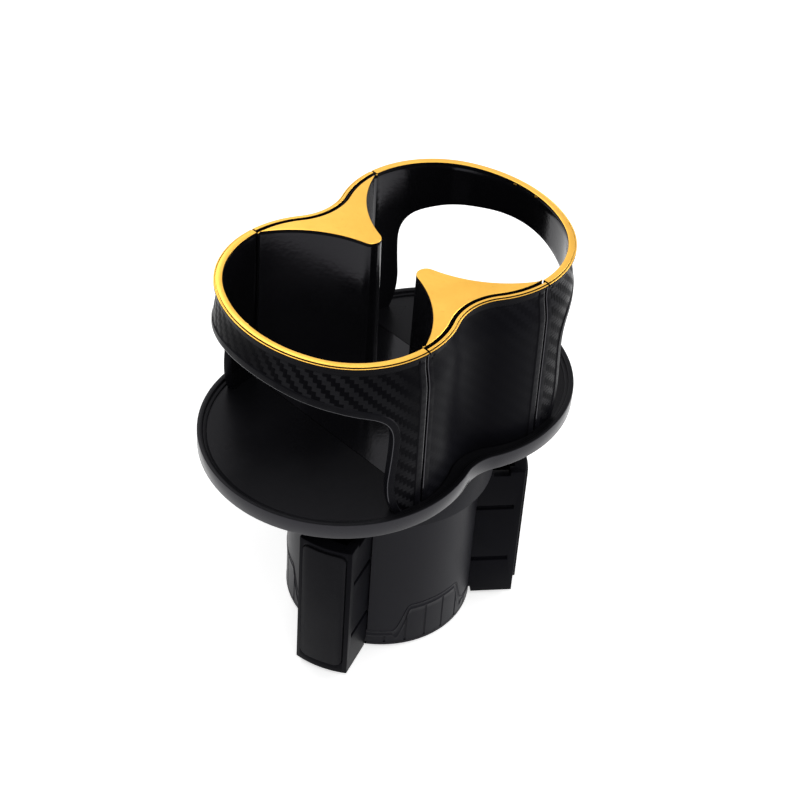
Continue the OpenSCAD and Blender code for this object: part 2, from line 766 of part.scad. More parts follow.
// Base barrel: slotted wall, guide walls, top plate and the ribs that run in the feet's grooves
module base_barrel() {
    color(charcoal) difference() {
        union() {
            difference() {
                translate([0, 0, cap_line]) cylinder(r = barrel_r, h = barrel_h - cap_line);
                translate([0, 0, cap_line - over])
                    cylinder(r = barrel_r - barrel_t, h = barrel_h - plate_t - cap_line + over);
            }
            intersection() {
                translate([0, 0, cap_t + seat])
                    cylinder(r = barrel_r - barrel_t / 2, h = barrel_h - plate_t - cap_t);
                for (k = [0:foot_count - 1]) foot_at(k) for (s = [-1, 1])
                    translate([guide_from, s * (foot_hw + gap + guide_t / 2) - guide_t / 2, 0])
                        cube([barrel_r - guide_from, guide_t, barrel_h]);
            }
            for (k = [0:foot_count - 1]) rotate([0, 0, foot_dir(k) + 180 / foot_count])
                translate([cap_screw_at, 0, cap_t + seat])
                    cylinder(r = post_r, h = barrel_h - plate_t - cap_t);
        }
        for (k = [0:foot_count - 1]) foot_at(k) {
            difference() {
                along(0, foot_reach, foot_hw + gap, -over, foot_top + gap);
                for (z = groove_z) for (s = [-1, 1])
                    translate([rib_x, s * (foot_hw + gap) - groove_d + gap, z - groove_h / 2 + gap])
                        cube([barrel_t - 2 * gap, 2 * (groove_d - gap), groove_h - 2 * gap]);
            }
            // slot for the scroll peg
            translate([0, 0, foot_top]) linear_extrude(barrel_h) {
                translate([peg_at - foot_in, -peg_r - gap]) square([foot_in + foot_out, 2 * (peg_r + gap)]);
                for (x = [peg_at - foot_in, peg_at + foot_out]) translate([x, 0]) circle(r = peg_r + gap);
            }
        }
        translate([0, 0, barrel_h - plate_t - over]) cylinder(r = bush_r + run, h = plate_t + 2 * over);
        for (k = [0:foot_count - 1]) rotate([0, 0, foot_dir(k) + 180 / foot_count]) {
            translate([cap_screw_at, 0, 0]) cylinder(r = screw_r + thread_fit, h = cap_screw_l + over);
            skirt_cut_out();
        }
    }
}

cap_screw_at = barrel_r - cap_screw_in;
guide_from = barrel_r - guide_l;
rib_x = sqrt(pow(barrel_r - barrel_t, 2) - foot_hw * foot_hw) + gap;

// The skirt pattern ends just inside the slots on either side
skirt_end = barrel_r * sin(180 / foot_count - asin(foot_hw / barrel_r));

// The skirt pattern as seen from outside midway between two feet: a low band that rises in a
// smooth slope on each side to a plateau
module skirt_shape(low, high, half) {
    line = [for (i = [0:steps]) let(u = i / steps)
        [half + skirt_slope * (1 - u), low + (high - low) * u * u * (3 - 2 * u)]];
    polygon(concat([[skirt_end, 0], [skirt_end, low]], line,
        [for (i = [steps:-1:0]) [-line[i][0], line[i][1]]], [[-skirt_end, low], [-skirt_end, 0]]));
}

module skirt_cut_out() {
    b = skirt_border;
    intersection() {
        tube(0, barrel_r - skirt_cut, barrel_r + over, barrel_h);
        rotate([90, 0, 90]) linear_extrude(2 * barrel_r) skirt_shape(skirt_low, skirt_high, skirt_half);
    }
    intersection() {
        tube(0, barrel_r - 2 * skirt_cut, barrel_r + over, barrel_h);
        rotate([90, 0, 90]) linear_extrude(2 * barrel_r) difference() {
            skirt_shape(skirt_low - b, skirt_high - b, skirt_half - b);
            for (i = [-2:2]) translate([i * skirt_pitch - skirt_rib / 2, 0]) square([skirt_rib, skirt_high]);
        }
    }
}

// Bottom cap: closes the barrel, notched for the feet
module base_cap() {
    color(charcoal) difference() {
        union() {
            cylinder(r1 = barrel_r - cap_bevel, r2 = barrel_r, h = cap_bevel);
            translate([0, 0, cap_bevel]) cylinder(r = barrel_r, h = cap_line - cap_bevel);
            translate([0, 0, cap_line - lap])
                cylinder(r = barrel_r - barrel_t - seat, h = cap_t - cap_line + lap);
        }
        for (k = [0:foot_count - 1]) foot_at(k)
            along(step_x - foot_in - gap, foot_reach, foot_hw + gap, foot_lift - gap, cap_t + over);
        for (k = [0:foot_count - 1]) rotate([0, 0, foot_dir(k) + 180 / foot_count])
            translate([cap_screw_at, 0, 0]) {
                cylinder(r = screw_r + screw_gap, h = 3 * cap_t, center = true);
                cylinder(r = screw_head_r + screw_gap, h = 2 * (screw_head_h + screw_gap), center = true);
            }
    }
}

module base_screws() {
    color(steel) for (k = [0:foot_count - 1]) rotate([0, 0, foot_dir(k) + 180 / foot_count])
        translate([cap_screw_at, 0, screw_gap]) {
            cylinder(r = screw_head_r, h = screw_head_h);
            cylinder(r = screw_r, h = cap_screw_l);
        }
}

base_barrel();
base_cap();
base_screws();
foot_front();
foot_right();
foot_left();
pad_front();
pad_right();
pad_left();
adjuster_ring();
pivot_bush();
pivot_washer();
pivot_screw();
tray();
centre_frame();
front_shell();
rear_shell();
right_panel();
left_panel();
front_rim_trim();
rear_rim_trim();
right_waist_trim();
left_waist_trim();
right_column_cap();
left_column_cap();
floor_screws();
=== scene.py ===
import bisect
import math

import bmesh
import bpy
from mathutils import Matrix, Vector
from mathutils.geometry import delaunay_2d_cdt


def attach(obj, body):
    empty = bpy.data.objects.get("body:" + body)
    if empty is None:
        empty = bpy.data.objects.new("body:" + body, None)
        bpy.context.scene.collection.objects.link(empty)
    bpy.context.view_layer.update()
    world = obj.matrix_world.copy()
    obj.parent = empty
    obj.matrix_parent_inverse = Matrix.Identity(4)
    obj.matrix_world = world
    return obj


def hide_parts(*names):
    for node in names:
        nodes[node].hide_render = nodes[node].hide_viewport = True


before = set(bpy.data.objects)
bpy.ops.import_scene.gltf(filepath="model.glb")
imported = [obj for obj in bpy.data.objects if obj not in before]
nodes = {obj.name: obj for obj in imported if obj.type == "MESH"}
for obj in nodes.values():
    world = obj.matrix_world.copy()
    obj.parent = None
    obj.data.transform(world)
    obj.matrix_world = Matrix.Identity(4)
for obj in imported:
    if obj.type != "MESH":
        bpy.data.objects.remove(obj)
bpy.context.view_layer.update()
mm = 0.001  # lengths below are in millimetres

# Camera: fitted to the photograph's outlines
camera = {
    "focalPixels": 1950.26,
    "distance": 574.15,
    "elevation": 40.50,
    "azimuth": -46.43,
    "roll": 4.073,
    "targetHeight": 70.0,
    "targetPixel": (388.37, 411.98),
    "imageSize": 800,
    "sensor": 36,
    "clip": (0.02, 20),  # in metres
}


def placeCamera(c):
    az, el, roll = (math.radians(c[k]) for k in ("azimuth", "elevation", "roll"))
    back = Vector((math.sin(az) * math.cos(el), -math.cos(az) * math.cos(el), math.sin(el)))
    right = Vector((math.cos(az), math.sin(az), 0))
    up = back.cross(right)
    across = right * math.cos(roll) + up * math.sin(roll)
    upright = up * math.cos(roll) - right * math.sin(roll)
    perPixel = c["distance"] / c["focalPixels"]
    place = Vector((0, 0, c["targetHeight"])) + back * c["distance"]
    middle = c["imageSize"] / 2
    place -= across * (c["targetPixel"][0] - middle) * perPixel
    place += upright * (c["targetPixel"][1] - middle) * perPixel
    data = bpy.data.cameras.new("camera")
    data.sensor_width = c["sensor"]
    data.lens = c["focalPixels"] / c["imageSize"] * c["sensor"]
    data.clip_start, data.clip_end = c["clip"]
    obj = bpy.data.objects.new("camera", data)
    bpy.context.collection.objects.link(obj)
    turn = obj.matrix_world.to_3x3()
    for i, axis in enumerate((across, upright, back)):
        for j in range(3):
            turn[j][i] = axis[j]
    obj.matrix_world = turn.to_4x4()
    obj.location = place * mm
    bpy.context.scene.camera = obj


placeCamera(camera)
bpy.context.scene.view_settings.view_transform = "Standard"

# Plans of the body and the tray, as arcs that meet on tangents
bodyPlan = {"length": 107.7, "width": 71.2, "waist": 59.6, "cornerX": 22.5, "blend": 28}
trayPlan = {"length": 121, "width": 81.5, "waist": 74.0, "cornerX": 20, "blend": 45}
# x at which the end shells, their floor plates and the waist pieces end
seam = {"shell": 23.1, "floor": 22.68, "waist": 22.5}


def solvePlan(p):
    c, s = math.cos(math.radians(p["blend"])), math.sin(math.radians(p["blend"]))
    d = (p["cornerX"] - p["length"] / 2 + p["width"] / 2) / (c + s - 1)
    p["cornerR"] = p["width"] / 2 - d * s
    p["endR"] = p["width"] / 2 + d * (1 - s)
    p["endX"] = p["length"] / 2 - p["endR"]
    p["cornerY"] = d * s
    h = p["waist"] / 2 - p["cornerY"]
    p["waistR"] = (p["cornerX"] ** 2 + h * h - p["cornerR"] ** 2) / (2 * (p["cornerR"] - h))
    p["waistY"] = p["waist"] / 2 + p["waistR"]
    p["meet"] = math.degrees(math.atan2(p["waistY"] - p["cornerY"], -p["cornerX"]))
    return p


for plan in (bodyPlan, trayPlan):
    solvePlan(plan)


# A rail is a list of (x, y, outward x, outward y, distance along it)
def railOf(arcs, spacing=0.35):
    rail = []
    for cx, cy, r, a, b, side in arcs:
        n = max(4, round(abs(math.radians(b - a)) * r / spacing))
        for i in range(n + 1):
            t = math.radians(a + (b - a) * i / n)
            x, y = cx + r * math.cos(t), cy + r * math.sin(t)
            if rail and math.hypot(x - rail[-1][0], y - rail[-1][1]) < 0.02:
                continue  # neighbouring arcs share a point
            s = rail[-1][4] + math.hypot(x - rail[-1][0], y - rail[-1][1]) if rail else 0.0
            rail.append((x, y, side * math.cos(t), side * math.sin(t), s))
    return rail


def endArcs(p, fromX):
    a = math.degrees(math.acos((fromX - p["cornerX"]) / p["cornerR"]))
    return [
        (p["cornerX"], -p["cornerY"], p["cornerR"], -a, -p["blend"], 1),
        (p["endX"], 0, p["endR"], -p["blend"], p["blend"], 1),
        (p["cornerX"], p["cornerY"], p["cornerR"], p["blend"], a, 1),
    ]


def waistArcs(p, fromX):
    a = math.degrees(math.acos((fromX - p["cornerX"]) / p["cornerR"]))
    return [
        (p["cornerX"], p["cornerY"], p["cornerR"], a, p["meet"], 1),
        (0, p["waistY"], p["waistR"], p["meet"] - 180, -p["meet"], -1),
        (-p["cornerX"], p["cornerY"], p["cornerR"], 180 - p["meet"], 180 - a, 1),
    ]


def turned(arcs):
    return [(-cx, -cy, r, a + 180, b + 180, side) for cx, cy, r, a, b, side in arcs]


def onRail(rail, keys, s):
    i = min(max(bisect.bisect_right(keys, s) - 1, 0), len(rail) - 2)
    p, q = rail[i], rail[i + 1]
    t = (s - p[4]) / (q[4] - p[4])
    return [p[k] + (q[k] - p[k]) * t for k in range(4)]


def smoothValue(knots, x):
    # a smooth curve through the knots that doesn't overshoot them
    if x <= knots[0][0]:
        return knots[0][1]
    if x >= knots[-1][0]:
        return knots[-1][1]
    slopes = [(b[1] - a[1]) / (b[0] - a[0]) for a, b in zip(knots, knots[1:])]
    tangents = [slopes[0]]
    for a, b in zip(slopes, slopes[1:]):
        tangents.append(0 if a * b <= 0 else 2 * a * b / (a + b))
    tangents.append(slopes[-1])
    i = max(k for k in range(len(knots) - 1) if knots[k][0] <= x)
    h = knots[i + 1][0] - knots[i][0]
    t = (x - knots[i][0]) / h
    a, b = knots[i][1], knots[i + 1][1]
    return (
        (2 * t**3 - 3 * t * t + 1) * a
        + (t**3 - 2 * t * t + t) * h * tangents[i]
        + (3 * t * t - 2 * t**3) * b
        + (t**3 - t * t) * h * tangents[i + 1]
    )


# Materials
coolTint = (0.92, 0.90, 1.0, 1)  # reflections on the black plastics lean to violet


def newMaterial(name, color, roughness, metallic=0.0, specular=0.5):
    material = bpy.data.materials.new(name)
    material.use_nodes = True
    shader = material.node_tree.nodes["Principled BSDF"]
    shader.inputs["Base Color"].default_value = (*color, 1)
    shader.inputs["Roughness"].default_value = roughness
    shader.inputs["Metallic"].default_value = metallic
    shader.inputs["Specular IOR Level"].default_value = specular
    if not metallic:
        shader.inputs["Specular Tint"].default_value = coolTint
    return material, material.node_tree, shader


def addNode(tree, kind, **values):
    node = tree.nodes.new(kind)
    for key, value in values.items():
        if key in node.inputs:
            node.inputs[key].default_value = value
        else:
            setattr(node, key, value)
    return node


def mathNode(tree, operation, *inputs):
    node = tree.nodes.new("ShaderNodeMath")
    node.operation = operation
    for socket, value in zip(node.inputs, inputs):
        if hasattr(value, "is_output"):
            tree.links.new(value, socket)
        else:
            socket.default_value = value
    return node.outputs[0]


def noiseOf(tree, scale, detail=3.0, roughness=0.5, stretch=None):
    coords = tree.nodes.new("ShaderNodeTexCoord")
    noise = addNode(tree, "ShaderNodeTexNoise", Scale=scale, Detail=detail, Roughness=roughness)
    source = coords.outputs["Object"]
    if stretch:
        mapping = addNode(tree, "ShaderNodeMapping", Scale=stretch)
        tree.links.new(source, mapping.inputs["Vector"])
        source = mapping.outputs["Vector"]
    tree.links.new(source, noise.inputs["Vector"])
    return noise.outputs["Fac"]


def rangeNode(tree, source, low, high, toLow, toHigh):
    node = addNode(tree, "ShaderNodeMapRange")
    tree.links.new(source, node.inputs["Value"])
    values = {"From Min": low, "From Max": high, "To Min": toLow, "To Max": toHigh}
    for key, value in values.items():
        node.inputs[key].default_value = value
    return node.outputs["Result"]


def mixColors(tree, factor, a, b):
    node = tree.nodes.new("ShaderNodeMix")
    node.data_type = "RGBA"
    tree.links.new(factor, node.inputs["Factor"])
    for socket, color in ((node.inputs[6], a), (node.inputs[7], b)):
        if hasattr(color, "is_output"):
            tree.links.new(color, socket)
        else:
            socket.default_value = (*color, 1)
    return node.outputs[2]


def bumpInto(tree, shader, height, strength, distance):
    bump = addNode(tree, "ShaderNodeBump", Strength=strength, Distance=distance)
    tree.links.new(height, bump.inputs["Height"])
    tree.links.new(bump.outputs["Normal"], shader.inputs["Normal"])


def colorInto(tree, shader, source, limits, a, b, share=1):
    color = mixColors(tree, rangeNode(tree, source, *limits, 0, share), a, b)
    tree.links.new(color, shader.inputs["Base Color"])


def roughInto(tree, shader, source, limits, rough):
    tree.links.new(rangeNode(tree, source, *limits, *rough), shader.inputs["Roughness"])


plastic = {
    "base": {
        "color": (0.0078, 0.0078, 0.0102), "worn": (0.0115, 0.0115, 0.0145),
        "rough": (0.36, 0.46), "grain": 5200, "depth": 0.00003, "specular": 0.13,
    },
    "collar": {
        "color": (0.0080, 0.0080, 0.0100), "worn": (0.0150, 0.0150, 0.0180),
        "rough": (0.50, 0.62), "grain": 2600, "depth": 0.00008, "specular": 0.08,
    },
    "foot": {
        "color": (0.0048, 0.0048, 0.0064), "worn": (0.0066, 0.0066, 0.0088),
        "rough": (0.38, 0.48), "grain": 5200, "depth": 0.00003, "specular": 0.035,
    },
    "tray": {
        "color": (0.0054, 0.0054, 0.0064), "worn": (0.0072, 0.0072, 0.0084),
        "rough": (0.26, 0.38), "grain": 4200, "depth": 0.00002, "specular": 0.07,
    },
    "skirt": {
        "color": (0.0060, 0.0060, 0.0075), "worn": (0.0090, 0.0090, 0.0110),
        "rough": (0.20, 0.30), "grain": 4200, "depth": 0.00002, "specular": 0.36,
    },
    "inner": {
        "color": (0.0042, 0.0042, 0.0052), "worn": (0.0058, 0.0058, 0.0070),
        "rough": (0.10, 0.18), "grain": 900, "depth": 0.00003, "specular": 0.26,
    },
    "panel": {
        "color": (0.0040, 0.0040, 0.0054), "worn": (0.0060, 0.0060, 0.0078),
        "rough": (0.34, 0.44), "grain": 4600, "depth": 0.00003, "specular": 0.045,
    },
    "edge": {
        "color": (0.0060, 0.0060, 0.0075), "worn": (0.0085, 0.0085, 0.0105),
        "rough": (0.14, 0.22), "grain": 3000, "depth": 0.00001, "specular": 0.6,
    },
}


# broad patches of wear on every plastic: colour and roughness change over these noise values
wear = {"scale": 38, "detail": 4, "color": (0.42, 0.68), "rough": (0.35, 0.65), "bump": 0.6}


def plasticOf(name, p):
    material, tree, shader = newMaterial(name, p["color"], p["rough"][0], specular=p["specular"])
    broad = noiseOf(tree, wear["scale"], wear["detail"])
    colorInto(tree, shader, broad, wear["color"], p["color"], p["worn"])
    roughInto(tree, shader, broad, wear["rough"], p["rough"])
    bumpInto(tree, shader, noiseOf(tree, p["grain"], 2), wear["bump"], p["depth"])
    return material


finishes = {name: plasticOf(name + "Plastic", values) for name, values in plastic.items()}

rubber = {
    "color": (0.0055, 0.0055, 0.0068), "dusty": (0.0085, 0.0085, 0.0100), "rough": (0.5, 0.62),
    "dust": 55, "dustRange": (0.4, 0.7), "grain": 3000, "grainRange": (0.3, 0.7),
    "bump": 0.8, "depth": 0.00005, "specular": 0.08,
}


def rubberOf(p):
    material, tree, shader = newMaterial(
        "padRubber", p["color"], p["rough"][0], specular=p["specular"])
    dust, grain = noiseOf(tree, p["dust"], 5, 0.6), noiseOf(tree, p["grain"], 3)
    colorInto(tree, shader, dust, p["dustRange"], p["color"], p["dusty"])
    roughInto(tree, shader, grain, p["grainRange"], p["rough"])
    bumpInto(tree, shader, grain, p["bump"], p["depth"])
    return material


finishes["rubber"] = rubberOf(rubber)

# Twill weave moulded into the shells, drawn on the UV map "weave", which is in millimetres
weave = {
    "yarn": 1.25, "repeat": 4.0, "color": (0.0022, 0.0022, 0.0031),
    "sheenColor": (0.0180, 0.0180, 0.0205), "rough": (0.24, 0.46), "specular": 0.022,
    "bump": 0.5, "depth": 0.00010, "grain": 4200, "grainShare": 0.12,
    # it shows in patches: the weft yarns are painted lighter there, a painted sheen standing in for
    # highlights, and the bump shows only there too
    "sheenPatches": 26, "sheenRange": (0.46, 0.66), "sheenShare": (0.12, 1.0),
}
# the panels' faint weave gets the same painted sheen on its weft yarns, only weaker
faintWeave = dict(
    weave, color=(0.0046, 0.0046, 0.0062), sheenColor=(0.0085, 0.0085, 0.0108),
    rough=(0.36, 0.40), bump=0.2)


def weaveOf(name, p):
    material, tree, shader = newMaterial(name, p["color"], p["rough"][0], specular=p["specular"])

    def calc(operation, *inputs):
        return mathNode(tree, operation, *inputs)

    def crownOf(across):
        # a yarn is highest along its middle
        away = calc("ABSOLUTE", calc("SUBTRACT", calc("FRACT", across), 0.5))
        return calc("SUBTRACT", 1.0, calc("MULTIPLY", calc("POWER", away, 2.0), 4.0))

    uv = addNode(tree, "ShaderNodeUVMap", uv_map="weave")
    split = tree.nodes.new("ShaderNodeSeparateXYZ")
    tree.links.new(uv.outputs["UV"], split.inputs[0])
    u, v = (calc("DIVIDE", split.outputs[axis], p["yarn"]) for axis in "XY")
    # over two yarns and under two, one yarn further in each row
    steps = calc("ADD", calc("FLOOR", u), calc("FLOOR", v))
    place = calc("FLOORED_MODULO", steps, p["repeat"])
    warp = calc("LESS_THAN", place, (p["repeat"] - 1) / 2)
    weft = calc("SUBTRACT", 1.0, warp)
    crown = calc("ADD", calc("MULTIPLY", warp, crownOf(u)), calc("MULTIPLY", weft, crownOf(v)))
    grain = calc("MULTIPLY", noiseOf(tree, p["grain"], 2), p["grainShare"])
    # painted sheen: the weft yarns turn lighter only inside these noise patches, and the bump
    # height is scaled by them as well
    sheen = noiseOf(tree, p["sheenPatches"], 2, 0.4)
    sheen = rangeNode(tree, sheen, *p["sheenRange"], *p["sheenShare"])
    color = mixColors(tree, calc("MULTIPLY", weft, sheen), p["color"], p["sheenColor"])
    tree.links.new(color, shader.inputs["Base Color"])
    roughInto(tree, shader, warp, (0, 1), p["rough"])
    height = calc("MULTIPLY", calc("ADD", crown, grain), sheen)
    bumpInto(tree, shader, height, p["bump"], p["depth"])
    return material


finishes["weave"] = weaveOf("weavePlastic", weave)
finishes["faintWeave"] = weaveOf("faintWeavePlastic", faintWeave)

gold = {
    "color": (0.92, 0.525, 0.092), "deep": (0.74, 0.37, 0.045), "rough": (0.27, 0.42),
    # noise scale, the noise values between which it deepens, and how far
    "clouds": (60, (0.35, 0.7), 0.5), "specks": (900, (0.62, 0.8), 0.8),
    "roughRange": (0.3, 0.7), "bump": 0.35, "depth": 0.00004,
}


def goldOf(p):
    material, tree, shader = newMaterial("goldFoil", p["color"], p["rough"][0], metallic=1.0)
    scale, limits, share = p["clouds"]
    clouds = rangeNode(tree, noiseOf(tree, scale, 3), *limits, 0, share)
    clouded = mixColors(tree, clouds, p["color"], p["deep"])
    scale, limits, share = p["specks"]
    specks = noiseOf(tree, scale, 4, 0.7)
    colorInto(tree, shader, specks, limits, clouded, p["deep"], share)
    roughInto(tree, shader, specks, p["roughRange"], p["rough"])
    bumpInto(tree, shader, specks, p["bump"], p["depth"])
    return material


finishes["gold"] = goldOf(gold)

steel = {
    "color": (0.5, 0.5, 0.52), "rough": (0.25, 0.4), "grain": 500, "stretch": (1, 1, 0.1),
    "roughRange": (0.3, 0.7), "bump": 0.3, "depth": 0.00002,
}


def steelOf(p):
    material, tree, shader = newMaterial("screwSteel", p["color"], p["rough"][0], metallic=1.0)
    brushed = noiseOf(tree, p["grain"], 3, stretch=p["stretch"])
    roughInto(tree, shader, brushed, p["roughRange"], p["rough"])
    bumpInto(tree, shader, brushed, p["bump"], p["depth"])
    return material


finishes["steel"] = steelOf(steel)
print("materials made")


def setFinish(obj, *names):
    for name in names:
        obj.data.materials.append(finishes[name])


def newPiece(name, bm, finishNames, sharpAngle=32):
    mesh = bpy.data.meshes.new(name)
    bm.to_mesh(mesh)
    bm.free()
    for face in mesh.polygons:
        face.use_smooth = True
    mesh.set_sharp_from_angle(angle=math.radians(sharpAngle))
    obj = bpy.data.objects.new(name, mesh)
    bpy.context.collection.objects.link(obj)
    setFinish(obj, *finishNames)
    return obj


# Walls: a flat outline (distance along the rail, height) is triangulated and laid on the wall
# twice, as the outer face and as the inner face
def inset(outline, d, closest=0.12):
    n, result = len(outline), []
    for i in range(n):
        a, b, c = Vector(outline[i - 1]), Vector(outline[i]), Vector(outline[(i + 1) % n])
        e, f = (b - a).normalized(), (c - b).normalized()
        p, q = Vector((-e.y, e.x)), Vector((-f.y, f.x))
        v = b + (p + q) * (d / max(1 + p.dot(q), 0.3))
        if not result or (v - Vector(result[-1])).length > closest:
            result.append((v.x, v.y))
    while (Vector(result[0]) - Vector(result[-1])).length < closest:
        result.pop()
    return result


def refine(points, spacing):
    result = []
    for a, b in zip(points, points[1:] + points[:1]):
        n = max(1, math.ceil(math.dist(a, b) / spacing))
        result += [(a[0] + (b[0] - a[0]) * i / n, a[1] + (b[1] - a[1]) * i / n) for i in range(n)]
    return result


def inside(poly, x, y):
    hit = False
    for (ax, ay), (bx, by) in zip(poly, poly[1:] + poly[:1]):
        if (ay > y) != (by > y) and x < ax + (y - ay) / (by - ay) * (bx - ax):
            hit = not hit
    return hit


def farFromAll(points, x, y, clear):
    return all((px - x) ** 2 + (py - y) ** 2 > clear * clear for px, py in points)


wall = {
    "top": 125.8,
    "floor": 72.1,
    "deck": 74.3,
    "fieldDrop": 1.4,  # the field's outline ends this far below the floor
    "endThick": 2.4,
    "panelThick": 1.55,
    "outer": [
        (72.1, -1.3), (86.3, -1.04), (114.3, -0.58), (118.3, 0.0), (121.8, 0.68), (124.3, 0.8),
        (125.8, 0.48),
    ],
    "draft": [(72.1, -1.0), (86.3, -0.8), (114.3, 0.0), (125.8, 0.0)],
    "border": 2.0,  # width of the plain frame round the field
    "step": 0.3,  # depth of the field
    "stepWidth": 0.28,
    "edge": 0.3,  # rounding of the free edges
    "innerEdge": 0.8,  # share of it on the inner face
    "spacing": 0.9,  # of points along the lines
    "grid": 1.5,  # of points between them
    "rowPitch": 0.87,
    "clear": 0.5,
}


def gridPoints(fixed, outline, free):
    # staggered rows of points within the free edge, clear of the fixed ones
    g = wall["grid"]
    buckets = {}
    for px, py in fixed:
        buckets.setdefault((int(px // g), int(py // g)), []).append((px, py))
    xs, ys = [p[0] for p in outline], [p[1] for p in outline]
    row, y = 0, min(ys)
    while y < max(ys):
        x = min(xs) + (g / 2 if row % 2 else 0)
        while x < max(xs):
            cells = [(int(x // g) + i, int(y // g) + j) for i in (-1, 0, 1) for j in (-1, 0, 1)]
            near = [q for cell in cells for q in buckets.get(cell, [])]
            if farFromAll(near, x, y, wall["clear"]) and inside(free, x, y):
                yield x, y
            x += g
        y += g * wall["rowPitch"]
        row += 1


def wallPiece(name, rail, outline, fieldOutline, thick, fieldFinish):
    keys = [p[4] for p in rail]
    middle = keys[-1] / 2
    e, border = wall["edge"], wall["border"]
    rounding = ((0.001, e), (e * 0.3, e * 0.29), (e, 0.0))  # a quarter round in two steps
    loops = [(inset(outline, d), depth) for d, depth in rounding]
    loops.append((inset(fieldOutline, border), 0.0))
    loops.append((inset(fieldOutline, border + wall["stepWidth"]), wall["step"]))
    loops = [(refine(loop, wall["spacing"]), depth) for loop, depth in loops]
    points, depths, edges = [], [], []
    for loop, depth in loops:
        first = len(points)
        points += loop
        depths += [depth] * len(loop)
        edges += [(first + i, first + (i + 1) % len(loop)) for i in range(len(loop))]
    fixed = list(points)
    edgeCount = len(loops[0][0]) + len(loops[1][0])
    free, field = loops[2][0], loops[4][0]
    for x, y in gridPoints(fixed, outline, free):
        points.append((x, y))
        depths.append(wall["step"] if inside(field, x, y) else 0.0)
    flat, _, faces, origin, _, _ = delaunay_2d_cdt([Vector(p) for p in points], edges, [], 1, 1e-5)
    bm = bmesh.new()
    uvLayer = bm.loops.layers.uv.new("weave")
    outerVerts, innerVerts = [], []
    for v, source in zip(flat, origin):
        x, y, nx, ny = onRail(rail, keys, v.x + middle)
        if not source:
            # a point made where two lines cross takes after the nearest one
            gaps = [(fx - v.x) ** 2 + (fy - v.y) ** 2 for fx, fy in fixed]
            source = [gaps.index(min(gaps))]
        depth = depths[source[0]]
        edgeDepth = depth if source[0] < edgeCount else 0.0
        out = smoothValue(wall["outer"], v.y) + depth
        back = smoothValue(wall["draft"], v.y) + thick - edgeDepth * wall["innerEdge"]
        outerVerts.append(bm.verts.new(((x - nx * out) * mm, (y - ny * out) * mm, v.y * mm)))
        innerVerts.append(bm.verts.new(((x - nx * back) * mm, (y - ny * back) * mm, v.y * mm)))
    flatOf = {vert: v for verts in (outerVerts, innerVerts) for vert, v in zip(verts, flat)}
    for corners in faces:
        face = bm.faces.new([outerVerts[i] for i in corners])
        mx, my = (sum(flat[i][k] for i in corners) / 3 for k in (0, 1))
        sources = [origin[i][0] if origin[i] else None for i in corners]
        rounded = any(k is not None and k < edgeCount for k in sources)
        flush = any(k is None or depths[k] == 0 for k in sources)
        face.material_index = 0 if inside(field, mx, my) else 3 if rounded and flush else 1
        bm.faces.new([innerVerts[i] for i in corners[::-1]]).material_index = 2
    sides = [pair for a, b, c in faces for pair in ((a, b), (b, c), (c, a))]
    inner = set(sides)
    for i, j in sides:
        if (j, i) not in inner:
            quad = [outerVerts[j], outerVerts[i], innerVerts[i], innerVerts[j]]
            bm.faces.new(quad).material_index = 1
    for face in bm.faces:
        for loop in face.loops:
            loop[uvLayer].uv = flatOf[loop.vert]
    bmesh.ops.recalc_face_normals(bm, faces=bm.faces)
    return newPiece(name, bm, [fieldFinish, "panel", "inner", "edge"], sharpAngle=30)


window = {
    # half outline: distance from the middle along the wall, and height
    "half": [
        (0, 114.8), (8.4, 114.4), (16.4, 113.4), (22.0, 112.7), (27.0, 111.9), (31.5, 110.9),
        (35.5, 109.9), (38.2, 108.8), (40.4, 107.0), (41.8, 104.4), (42.3, 101.0), (42.1, 96.0),
        (41.6, 90.0), (41.3, 86.0), (41.5, 82.0), (42.1, 78.6), (42.9, 76.0), (43.6, 74.4),
        (44.2, 73.2), (44.6, 72.1),
    ],
    "spacing": 1.2,
}


def curveThrough(points, steps=6):
    result = []
    for i in range(len(points) - 1):
        a, b, c = points[max(i - 1, 0)], points[i], points[i + 1]
        d = points[min(i + 2, len(points) - 1)]
        for k in range(steps):
            t = k / steps
            result.append(tuple(
                0.5 * (
                    2 * b[n] + (c[n] - a[n]) * t
                    + (2 * a[n] - 5 * b[n] + 4 * c[n] - d[n]) * t * t
                    + (3 * b[n] - a[n] - 3 * c[n] + d[n]) * t**3
                )
                for n in (0, 1)
            ))
    return result + [points[-1]]


def shellOutline(half, bottom):
    points, top = window["half"], wall["top"]
    mirrored = (-points[1][0], points[1][1])
    right = [p for p in curveThrough([mirrored] + points) if p[0] >= -1e-6]
    foot = (right[-1][0], bottom)
    right = [p for p in right if p[1] >= bottom + 0.01] + [foot]
    left = [(-x, y) for x, y in reversed(right)]
    ring = [(-half, bottom)] + left[:-1] + right + [(half, bottom), (half, top), (-half, top)]
    return refine(ring, window["spacing"])


def offsetRail(rail, d):
    return [(x - nx * d, y - ny * d) for x, y, nx, ny, _ in rail]


def skinRings(bm, rings):
    # a solid through rings of points; its side faces are returned ring by ring
    rows = [[bm.verts.new((x * mm, y * mm, z * mm)) for x, y, z in ring] for ring in rings]
    bm.faces.new(rows[0][::-1])
    bm.faces.new(rows[-1])
    return [
        [bm.faces.new([a[i - 1], a[i], b[i], b[i - 1]]) for i in range(len(a))]
        for a, b in zip(rows, rows[1:])
    ]


def addPlate(bm, outline):
    skinRings(bm, [[(x, y, z) for x, y in outline] for z in (wall["floor"], wall["deck"])])


def finishPiece(obj, node, body):
    if node:
        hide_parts(node)
    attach(obj, body)


